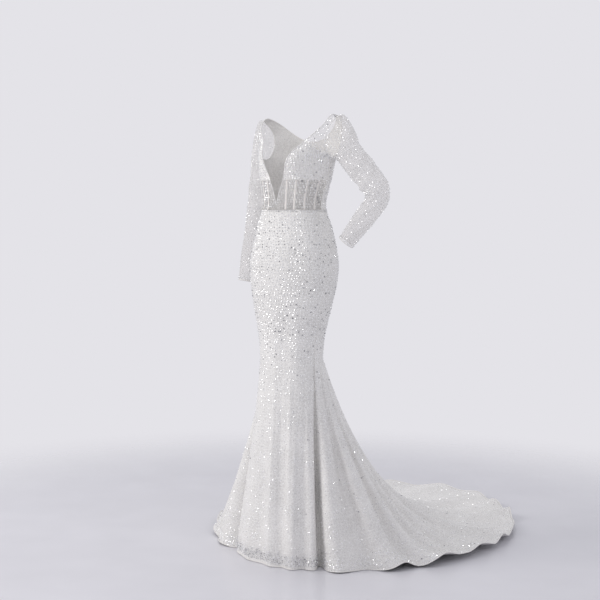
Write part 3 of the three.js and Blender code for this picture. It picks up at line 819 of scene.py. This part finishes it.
def named_material(key):
    """A finish of the gown by its short name, made the first time it is asked for."""
    sizes = bpy.context.scene.gown_sizes
    makers = {
        "Sequinned crepe": lambda name: beaded_cloth(hex_of(sizes.cloth), hex_of(sizes.cloth_shade)),
        "Tulle net": lambda name: sheer_net(name, hex_of(sizes.net), sizes.net_opacity),
        "Midriff net": lambda name: sheer_net(name, hex_of(sizes.net), sizes.midriff_opacity),
        "Satin boning tape": lambda name: boning_tape(hex_of(sizes.tape)),
        # Crystals and seed beads run from a painted grey to white by their tone: painted reflections
        "Silver-lined crystal": lambda name: crystal_beads(name, "#85858B", "#FFFFFF", 0.1),
        "Smoked seed bead": lambda name: crystal_beads(name, "#8F8F94", "#E9E8E8", 0.16),
        "Bias satin binding": lambda name: satin_binding(hex_of(sizes.binding)),
    }
    return bpy.data.materials.get(key) or makers[key](key)


def hex_of(colour):
    """Hex code of a colour property, which holds sRGB parts."""
    return "#" + "".join("%02X" % round(255 * part) for part in colour[:3])


def bead_shape(facets):
    """Corners and faces of one small bead, about 1 across, with a few flat facets."""
    bm = bmesh.new()
    if facets == "crystal":
        bmesh.ops.create_icosphere(bm, subdivisions=1, radius=0.5)
    else:
        bmesh.ops.create_uvsphere(bm, u_segments=4, v_segments=2, radius=0.5)
    bmesh.ops.triangulate(bm, faces=bm.faces)
    bm.verts.index_update()
    corners = np.array([v.co[:] for v in bm.verts])
    faces = np.array([[v.index for v in f.verts] for f in bm.faces])
    bm.free()
    return corners, faces


def sewn_beads(name, places, facing_ways, widths, tones, finish, slot, rng, facets="crystal"):
    """One mesh of many beads, each a copy of the same small shape turned its own way on the cloth."""
    corners, faces = bead_shape(facets)
    count = len(places)
    up = facing_ways / np.linalg.norm(facing_ways, axis=1, keepdims=True)
    spin = rng.normal(size=(count, 3))
    side = np.cross(up, spin)
    side /= np.linalg.norm(side, axis=1, keepdims=True)
    along = np.cross(up, side)
    tilt = BEAD_TILT * rng.normal(size=(count, 1))
    lifted = up + tilt * side
    lifted /= np.linalg.norm(lifted, axis=1, keepdims=True)
    shape = (corners[None, :, 0:1] * side[:, None] + corners[None, :, 1:2] * along[:, None]
             + BEAD_FLATNESS * corners[None, :, 2:3] * lifted[:, None])
    points = places[:, None] + shape * widths[:, None, None] * MM
    index = faces[None] + (np.arange(count) * len(corners))[:, None, None]
    mesh = bpy.data.meshes.new(name)
    mesh.from_pydata(points.reshape(-1, 3).tolist(), [], index.reshape(-1, 3).tolist())
    tone = mesh.attributes.new("tone", "FLOAT", "POINT")
    tone.data.foreach_set("value", np.repeat(tones, len(corners)).astype(np.float32))
    return piece_from(mesh, name, named_material(finish), slot)


def staggered(sheet, pitch, rng, jitter):
    """Places in staggered rows all over a sheet, as grid coordinates, evenly apart along each row."""
    longest = np.argmax(sheet.fall[-1])
    fall = sheet.fall[:, longest]
    gap = ROW_SPACING * pitch * MM
    us, vs, crowd = [], [], []
    for k, depth in enumerate(np.arange(BEAD_INSET, fall[-1] - BEAD_INSET, gap)):
        place = np.interp(depth, fall, np.arange(len(fall)))
        i = min(int(place), len(fall) - 2)
        line = mix(sheet.points[i], sheet.points[i + 1], place - i)
        length = lengths(line)
        start = BEAD_INSET + (0.5 * pitch * MM if k % 2 else 0)
        spots = np.arange(start, length[-1] - BEAD_INSET, pitch * MM)
        if not len(spots):
            continue
        spots = spots + rng.normal(size=len(spots)) * jitter * pitch * MM
        u = np.interp(spots, length, sheet.us)
        us.append(u)
        down = rng.normal(size=len(spots)) * jitter * gap
        vs.append(np.interp(depth + down, fall, sheet.vs))
        column = np.full_like(u, fall[-1]) if sheet.ringed else np.interp(u, sheet.us, sheet.fall[-1])
        crowd.append(column / fall[-1])
    return np.concatenate(us), np.concatenate(vs), np.concatenate(crowd)


def skirt_density(u, v, from_hem):
    """Share of beads kept down the skirt: close to the thigh, sparse below, close at the front hem."""
    body = 1 - 0.74 * smooth((v - 0.72) / 0.5) - 0.14 * smooth((v - 1.2) / 0.4)
    front = 1 - smooth((np.abs(u) - 78) / 14)
    band = (0.2 + 0.75 * front) * np.exp(-((from_hem - 0.024) / 0.022) ** 2)
    return np.clip(body + band, 0, 1)


def hem_band(u, v, from_hem):
    """Share of beads kept in the close band along the front hem."""
    return 1 - smooth((from_hem - 0.036) / 0.022)


def strewn(sheet, pitch, rng, density, jitter):
    """Grid coordinates of the beads kept on a sheet, with the share kept around each."""
    u, v, crowd = staggered(sheet, pitch, rng, jitter)
    share = np.ones_like(u) if density is None else density(u, v, sheet.from_foot(u, v))
    kept = rng.random(len(u)) < share * crowd
    return u[kept], v[kept], share[kept]


def bead_sheet(sheet, slot, pitch, width, rng, density=None, smoked=0.0, name=None):
    """Sew crystals over a sheet, some of them painted dark as painted reflection."""
    u, v, share = strewn(sheet, pitch, rng, density, BEAD_JITTER)
    sizes = width * (1 + 0.16 * rng.normal(size=len(u))).clip(0.6, 1.5)
    points, ways = sheet.at(u, v, BEAD_LIFT)
    # Some crystals are painted dark and the rest near-white, as painted dark and bright reflections
    painted_dark = rng.random(len(u)) < smoked * share
    tones = np.where(painted_dark, rng.uniform(0, 0.25, len(u)), rng.uniform(0.7, 1, len(u)))
    sewn_beads(name or "crystals_" + sheet.name, points, ways, sizes, tones, "Silver-lined crystal", slot,
               rng)


def seed_sheet(sheet, slot, pitch, width, rng, density=None, finish="Smoked seed bead"):
    """Sew small beads between the crystals of a sheet."""
    u, v, _ = strewn(sheet, pitch, rng, density, SEED_JITTER)
    points, ways = sheet.at(u, v, SEED_LIFT)
    sizes = width * (1 + 0.2 * rng.normal(size=len(u))).clip(0.6, 1.5)
    # Seed beads are painted from grey to white at random, as painted reflections
    sewn_beads("seeds_" + sheet.name, points, ways, sizes, rng.beta(1.6, 1.6, size=len(u)), finish, slot,
               rng, facets="seed")


def edge_line(name, edge, lift=0.0, inset=0.0):
    """Points in metres along one edge of a sheet, and the ways they face."""
    sheet = gown_sheet(name)
    wide, tall = (np.linspace(line[0], line[-1], EDGE_POINTS) for line in (sheet.us, sheet.vs))
    u, v = {
        "top": (wide, sheet.vs[0]),
        "foot": (wide, sheet.vs[-1] - inset * (sheet.vs[-1] - sheet.vs[0])),
        "first": (sheet.us[0], tall),
        "last": (sheet.us[-1], tall),
    }[edge]
    return sheet.at(np.full_like(wide, u), np.full_like(wide, v), lift)


def rolled_edge(name, line, radius, slot="beaded_cloth", closed=False, floor=None):
    """A soft roll of cloth along a line of points, from a flat grid rolled round it."""
    pace = 0.006
    path = evenly(line, pace)
    ahead = np.gradient(path, axis=0)
    ahead /= np.linalg.norm(ahead, axis=1, keepdims=True)
    if closed:
        ahead[0] = ahead[-1] = (ahead[0] + ahead[-1]) / np.linalg.norm(ahead[0] + ahead[-1])
    away = np.array([0.31, 0.27, 0.91])
    side = np.cross(ahead, away)
    side /= np.linalg.norm(side, axis=1, keepdims=True)
    up = np.cross(side, ahead)
    rounds = 10

    def place(i, j):
        turn = 2 * math.pi * j / rounds
        point = path[i] + radius * MM * (side[i] * math.cos(turn) + up[i] * math.sin(turn))
        if floor is not None:
            point[2] = max(point[2], floor)
        return point

    bm = laid_grid(rounds, len(path) - 1, place, lambda i, j: (j * radius * MM * 0.63, i * pace))
    ends = [e for e in bm.edges if e.is_boundary]
    if ends:
        bmesh.ops.holes_fill(bm, edges=ends, sides=rounds + 2)
    bmesh.ops.recalc_face_normals(bm, faces=bm.faces)
    return object_from(bm, name, named_material("Bias satin binding"), slot)


def bead_row(name, line, ways, gap, width, rng, slot, lift=0.4):
    """One row of crystals sewn along a line."""
    points = evenly(line, gap * MM)
    nearest = np.argmin(np.linalg.norm(points[:, None] - line[None], axis=2), axis=1)
    up = ways[nearest]
    sizes = width * (1 + 0.08 * rng.normal(size=len(points)))
    # Tones paint most of the row near-white and some grey, as painted reflections
    sewn_beads(name, points + up * lift * MM, up, sizes, rng.beta(3.2, 1.2, size=len(points)),
               "Silver-lined crystal", slot, rng)


def colour_choice(name, description, *parts):
    """A colour that a maker would change."""
    return bpy.props.FloatVectorProperty(name=name, description=description, subtype="COLOR_GAMMA",
                                         default=parts, min=0, max=1)


def number_choice(name, description, default, low, high):
    """A number that a maker would change."""
    return bpy.props.FloatProperty(name=name, description=description, default=default, min=low, max=high)


class GownSizes(bpy.types.PropertyGroup):
    """Sizes and colours that a maker would change."""

    cloth: colour_choice("Cloth", "Colour of the crepe where the net lies open", 0.918, 0.910, 0.900)
    cloth_shade: colour_choice("Cloth shade", "Colour of the crepe where the net lies close",
                               0.855, 0.847, 0.836)
    net: colour_choice("Net", "Colour of the sheer net", 0.925, 0.915, 0.905)
    tape: colour_choice("Boning tape", "Colour of the boning channels", 0.945, 0.930, 0.912)
    binding: colour_choice("Binding", "Colour of the satin edges", 0.955, 0.948, 0.938)
    net_opacity: number_choice("Net opacity", "How much one face of the sleeves' net hides", 0.23, 0.05, 1)
    midriff_opacity: number_choice("Midriff opacity", "How much one face of the boned net hides",
                                   0.30, 0.05, 1)
    crystal_width: number_choice("Crystal width", "Width of one sewn crystal in millimetres", 4.6, 1, 8)
    seed_width: number_choice("Seed bead width", "Width of one small bead in millimetres", 2.2, 1, 5)
    crystal_gap: number_choice("Crystal spacing", "Distance between crystals on the hips in millimetres",
                               11.0, 6, 40)
    sleeve_gap: number_choice("Sleeve spacing", "Distance between crystals on the sleeves in millimetres",
                              15.0, 6, 40)
    bodice_gap: number_choice("Bodice spacing", "Distance between crystals on the bodice in millimetres",
                              9.5, 6, 40)
    cloth_thickness: number_choice("Cloth thickness", "Crepe and net together in millimetres", 1.0, 0.3, 3)
    net_thickness: number_choice("Net thickness", "Sheer net in millimetres", 0.6, 0.2, 2)


def gown_sheet(name):
    """A sheet of the gown by name, worked out once."""
    if not SHEETS:
        SHEETS.update((sheet.name, sheet) for sheet in all_sheets())
    return SHEETS[name]


def lay(name, cloth):
    """Build one panel in place of its solid."""
    slot, thickness = CLOTHS[cloth]
    thick = getattr(bpy.context.scene.gown_sizes, thickness)
    piece = gown_sheet(name).build(named_material(cloth), slot, thick)
    piece.name = "cloth_" + name
    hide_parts(name)


class GOWN_OT_bodice(bpy.types.Operator):
    """Make the yokes, cups, midriff panels and back halves"""

    bl_idname = "gown.bodice"
    bl_label = "Bodice"

    def execute(self, context):
        for word, _ in SIDES:
            lay("yoke_" + word, "Tulle net")
            lay("cup_" + word, "Sequinned crepe")
            lay("midriff_" + word, "Midriff net")
            lay("back_" + word, "Sequinned crepe")
        return {"FINISHED"}


class GOWN_OT_boning(bpy.types.Operator):
    """Make the boning channels of the midriff"""

    bl_idname = "gown.boning"
    bl_label = "Boning channels"

    def execute(self, context):
        for word, side in SIDES:
            for i, at in enumerate(BONE_ANGLES, 1):
                name = f"bone_{word}_{i}"
                tape = Sheet(name, boning_channel(side, at), np.linspace(-1, 1, 11), np.linspace(0, 1, 33))
                piece = tape.build(named_material("Satin boning tape"), "boning", 0.5)
                piece.name = "tape_" + name
                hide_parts(name)
        return {"FINISHED"}


class GOWN_OT_sleeves(bpy.types.Operator):
    """Make both long sheer sleeves"""

    bl_idname = "gown.sleeves"
    bl_label = "Sleeves"

    def execute(self, context):
        lay("sleeve_left", "Tulle net")
        lay("sleeve_right", "Tulle net")
        return {"FINISHED"}


class GOWN_OT_skirt(bpy.types.Operator):
    """Make the front skirt panel and the two side panels with the train"""

    bl_idname = "gown.skirt"
    bl_label = "Skirt and train"

    def execute(self, context):
        lay("skirt_front", "Sequinned crepe")
        lay("skirt_left", "Sequinned crepe")
        lay("skirt_right", "Sequinned crepe")
        return {"FINISHED"}


def neckline_loop():
    """The whole neck edge in metres, from the left shoulder down the plunge and round the back."""
    down = np.concatenate([np.linspace(0, V_BOTTOM + 3, 120), [V_BOTTOM]])
    left = bodice_cloth(neck_angle(down), down)
    right = left[::-1] * np.array([-1, 1, 1])
    sunk = -BACK_NECK_DEPTH * np.sin(np.linspace(0, math.pi / 2, 70))
    behind = bodice_cloth(180 - back_neck_angle(sunk), sunk)
    back = np.concatenate([behind * np.array([-1, 1, 1]), behind[::-1]])
    return np.concatenate([left, right[1:], back[1:]]) * MM


def body_ring(z, turns, lift=0.0):
    """A line round the body at one height, through body angles, in metres, with the ways out."""
    angle = np.linspace(*turns, 240)
    level = np.full_like(angle, z)
    normal = facing(body_point, angle, level, 0.4, 0.8)
    return (bodice_cloth(angle, level) + normal * lift) * MM, normal


class GOWN_OT_edgings(bpy.types.Operator):
    """Make the bound neckline, cuffs, seams and rolled hem"""

    bl_idname = "gown.edgings"
    bl_label = "Edgings and seams"

    def execute(self, context):
        plunge = neck_angle(np.array(UNDERBUST))
        rolled_edge("binding_neck", neckline_loop(), 1.7, closed=True)
        for word, side in SIDES:
            rolled_edge("binding_cup_" + word, edge_line("cup_" + word, "top", 0.5)[0], 1.3)
            rib, _ = body_ring(UNDERBUST, (0.5 * side + side * plunge, 90 * side))
            rolled_edge("seam_underbust_" + word, rib, 1.1, "sheer")
            sleeve = "sleeve_" + word
            rolled_edge("seam_armhole_" + word, edge_line(sleeve, "top", 0.2)[0], 1.1, "sheer", closed=True)
            rolled_edge("binding_cuff_" + word, edge_line(sleeve, "foot")[0], 1.5, "sheer", closed=True)
            seam, _ = edge_line("skirt_" + word, "first" if side > 0 else "last", lift=-0.3)
            rolled_edge("seam_skirt_" + word, seam, 0.9, floor=(FLOOR + 1) * MM)
            flank, _ = edge_line("back_" + word, "last", lift=0.1)
            rolled_edge("seam_side_" + word, flank[EDGE_POINTS // 2:], 0.8)
        waist, _ = body_ring(WAIST, (-180, 180), lift=0.3)
        rolled_edge("seam_waist", waist, 1.2, closed=True)
        z = np.linspace(-BACK_NECK_DEPTH, WAIST, 120)
        rolled_edge("seam_back", bodice_cloth(np.full_like(z, 180.0), z) * MM, 0.8)
        tail, _ = edge_line("skirt_left", "last", lift=-0.3)
        rolled_edge("seam_skirt_back", tail, 0.9, floor=(FLOOR + 1) * MM)
        for part in SKIRT_PARTS:
            hem = gown_sheet("skirt_" + part).points[-1]
            rolled_edge("hem_" + part, hem, 1.9, floor=(FLOOR + HEM_LINE_LIFT) * MM)
        return {"FINISHED"}


class GOWN_OT_beading(bpy.types.Operator):
    """Sew the crystals and seed beads over the gown"""

    bl_idname = "gown.beading"
    bl_label = "Beading"

    def execute(self, context):
        sizes = context.scene.gown_sizes
        wide, small = sizes.crystal_width, sizes.seed_width
        for i, part in enumerate(SKIRT_PARTS):
            sheet = gown_sheet("skirt_" + part)
            rng = np.random.default_rng(110 + i)
            bead_sheet(sheet, "beaded_cloth", sizes.crystal_gap, wide, rng, skirt_density, smoked=0.15)
            seed_sheet(sheet, "beaded_cloth", SEED_GAPS["skirt"], small, rng, skirt_density)
        hem = gown_sheet("skirt_front")
        bead_sheet(hem, "beaded_cloth", *ROWS["hem"], np.random.default_rng(130), hem_band, smoked=0.5,
                   name="crystals_hem_band")
        for i, (word, _) in enumerate(SIDES):
            rng = np.random.default_rng(140 + i)
            sleeve = gown_sheet("sleeve_" + word)
            bead_sheet(sleeve, "sheer", sizes.sleeve_gap, wide, rng)
            seed_sheet(sleeve, "sheer", SEED_GAPS["sleeve"], small, rng, finish="Silver-lined crystal")
            for part, slot in (("yoke_", "sheer"), ("cup_", "beaded_cloth"), ("midriff_", "sheer"),
                               ("back_", "beaded_cloth")):
                sheet = gown_sheet(part + word)
                bead_sheet(sheet, slot, sizes.bodice_gap, wide, rng, smoked=0.07)
                seed_sheet(sheet, slot, SEED_GAPS["bodice"], small, rng)
            cuff, ways = edge_line("sleeve_" + word, "foot", lift=0.8, inset=0.012)
            bead_row("beads_cuff_" + word, cuff, ways, *ROWS["cuff"], rng, "sheer")
            cup, ways = edge_line("cup_" + word, "top", lift=1.6)
            bead_row("beads_cup_" + word, cup, ways, *ROWS["cup"], rng, "beaded_cloth")
        rng = np.random.default_rng(170)
        waist, ways = body_ring(WAIST, (-180, 180), lift=1.4)
        bead_row("beads_waist", waist, ways, *ROWS["waist"], rng, "beaded_cloth")
        neck = neckline_loop()
        out = neck - np.array([*BODY_MIDDLE, 0]) * MM
        out[:, 2] = 0.02
        out /= np.linalg.norm(out, axis=1, keepdims=True)
        bead_row("beads_neck", neck, out, *ROWS["neck"], rng, "beaded_cloth", lift=1.6)
        return {"FINISHED"}


class GOWN_OT_stage(bpy.types.Operator):
    """Make the pale floor, soft lights and camera"""

    bl_idname = "gown.stage"
    bl_label = "Stage"

    def execute(self, context):
        scene = context.scene
        bm = bmesh.new()
        bmesh.ops.create_circle(bm, cap_ends=True, segments=96, radius=9.0)
        bmesh.ops.translate(bm, verts=bm.verts, vec=(0, 0, FLOOR * MM))
        mesh = bpy.data.meshes.new("floor")
        bm.to_mesh(mesh)
        bm.free()
        mesh.materials.append(studio_floor())
        ground = bpy.data.objects.new("floor", mesh)
        scene.collection.objects.link(ground)
        ground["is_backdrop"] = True
        world = bpy.data.worlds.new("Pale studio")
        world.use_nodes = True
        light_world(world.node_tree)
        scene.world = world
        soft_light("key", (-2.6, -3.4, 1.2), 2.6, 92, "#FFFDFA")
        soft_light("fill", (4.2, -1.0, 0.4), 3.0, 8, "#F4F6FF")
        soft_light("top", (-0.6, 0.8, 2.6), 2.2, 12, "#FFFFFF")
        soft_light("glint_front", (2.2, -3.2, 1.6), 0.35, 9, "#FFFFFF")
        soft_light("glint_back", (2.6, 2.8, 2.2), 0.35, 8, "#FFFFFF")
        lens = bpy.data.cameras.new("camera")
        lens.lens = CAMERA_LENS
        lens.sensor_width = CAMERA_SENSOR
        view = bpy.data.objects.new("camera", lens)
        view.location = (CAMERA_DISTANCE * math.sin(CAMERA_TURN), -CAMERA_DISTANCE * math.cos(CAMERA_TURN),
                         CAMERA_HEIGHT)
        view.rotation_euler = (math.pi / 2 - CAMERA_DIP, 0, CAMERA_TURN)
        scene.collection.objects.link(view)
        scene.camera = view
        scene.view_settings.view_transform = "Standard"
        return {"FINISHED"}


def light_world(tree):
    """A pale backdrop that lights the gown less than it shows."""
    seen = tree.nodes["Background"]
    seen.inputs["Color"].default_value = linear("#E4E3E8")
    lighting = add(tree, "Background", {"Color": linear("#E2E2E8"), "Strength": 0.78})
    ray = add(tree, "LightPath").outputs["Is Camera Ray"]
    shown = add(tree, "MixShader", {0: ray, 1: lighting.outputs[0], 2: seen.outputs[0]})
    tree.links.new(shown.outputs[0], tree.nodes["World Output"].inputs["Surface"])


def soft_light(name, place, size, power, colour):
    """A large soft box that faces the gown."""
    lamp = bpy.data.lights.new(name, "AREA")
    lamp.shape = "DISK"
    lamp.size = size
    lamp.energy = power
    lamp.color = linear(colour)[:3]
    box = bpy.data.objects.new(name, lamp)
    box.location = place
    aim = Vector((0, 0.1, -0.8)) - Vector(place)
    box.rotation_euler = aim.to_track_quat("-Z", "Y").to_euler()
    bpy.context.scene.collection.objects.link(box)


def studio_floor():
    """Painted studio floor under clear lacquer: pale, even, with a faint soft reflection."""
    made, tree, shader = blank_material("Lacquered studio floor")
    place = add(tree, "TexCoord").outputs["Object"]
    # Roller marks of about 200 mm, and the floor fades into the backdrop between 1.3 and 2.6 m out
    marks = noise(tree, place, 5.0, 2.0)
    paint = ramp(tree, marks, (0.2, "#DAD9DE"), (0.8, "#E0DFE4"))
    flat = add(tree, "VectorMath", {0: place, 1: (1, 1, 0)}, operation="MULTIPLY").outputs[0]
    away = add(tree, "VectorMath", {0: flat}, operation="LENGTH").outputs["Value"]
    fade = add(tree, "MapRange", {"Value": away, "From Min": 1.3, "From Max": 2.6, "To Min": 1.0,
                                  "To Max": 0.0}, interpolation_type="SMOOTHSTEP").outputs["Result"]
    settle(tree, shader, Base_Color=paint, Alpha=fade, Roughness=0.28, IOR=1.45)
    return made


PIECES = (GOWN_OT_bodice, GOWN_OT_boning, GOWN_OT_sleeves, GOWN_OT_skirt, GOWN_OT_edgings,
          GOWN_OT_beading, GOWN_OT_stage)


class GOWN_PT_panel(bpy.types.Panel):
    """Gown panel in the sidebar"""

    bl_idname = "GOWN_PT_panel"
    bl_label = "Mermaid Gown"
    bl_space_type = "VIEW_3D"
    bl_region_type = "UI"
    bl_category = "Gown"

    def draw(self, context):
        sizes = context.scene.gown_sizes
        column = self.layout.column()
        for key in GownSizes.__annotations__:
            column.prop(sizes, key)
        for piece in PIECES:
            column.operator(piece.bl_idname)


CLASSES = (GownSizes, *PIECES, GOWN_PT_panel)


def register():
    for kind in CLASSES:
        bpy.utils.register_class(kind)
    bpy.types.Scene.gown_sizes = bpy.props.PointerProperty(type=GownSizes)


def unregister():
    del bpy.types.Scene.gown_sizes
    for kind in reversed(CLASSES):
        bpy.utils.unregister_class(kind)


def main():
    """Make every piece of the gown, then work out the size of the whole."""
    register()
    bpy.ops.gown.bodice()
    bpy.ops.gown.boning()
    bpy.ops.gown.sleeves()
    bpy.ops.gown.skirt()
    bpy.ops.gown.edgings()
    bpy.ops.gown.beading()
    bpy.ops.gown.stage()
    boxes = {"cad": CAD_BOX, "visual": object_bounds()}
    sizes = {key: [[float(n) for n in corner] for corner in box] for key, box in boxes.items()}


if __name__ == "__main__":
    main()
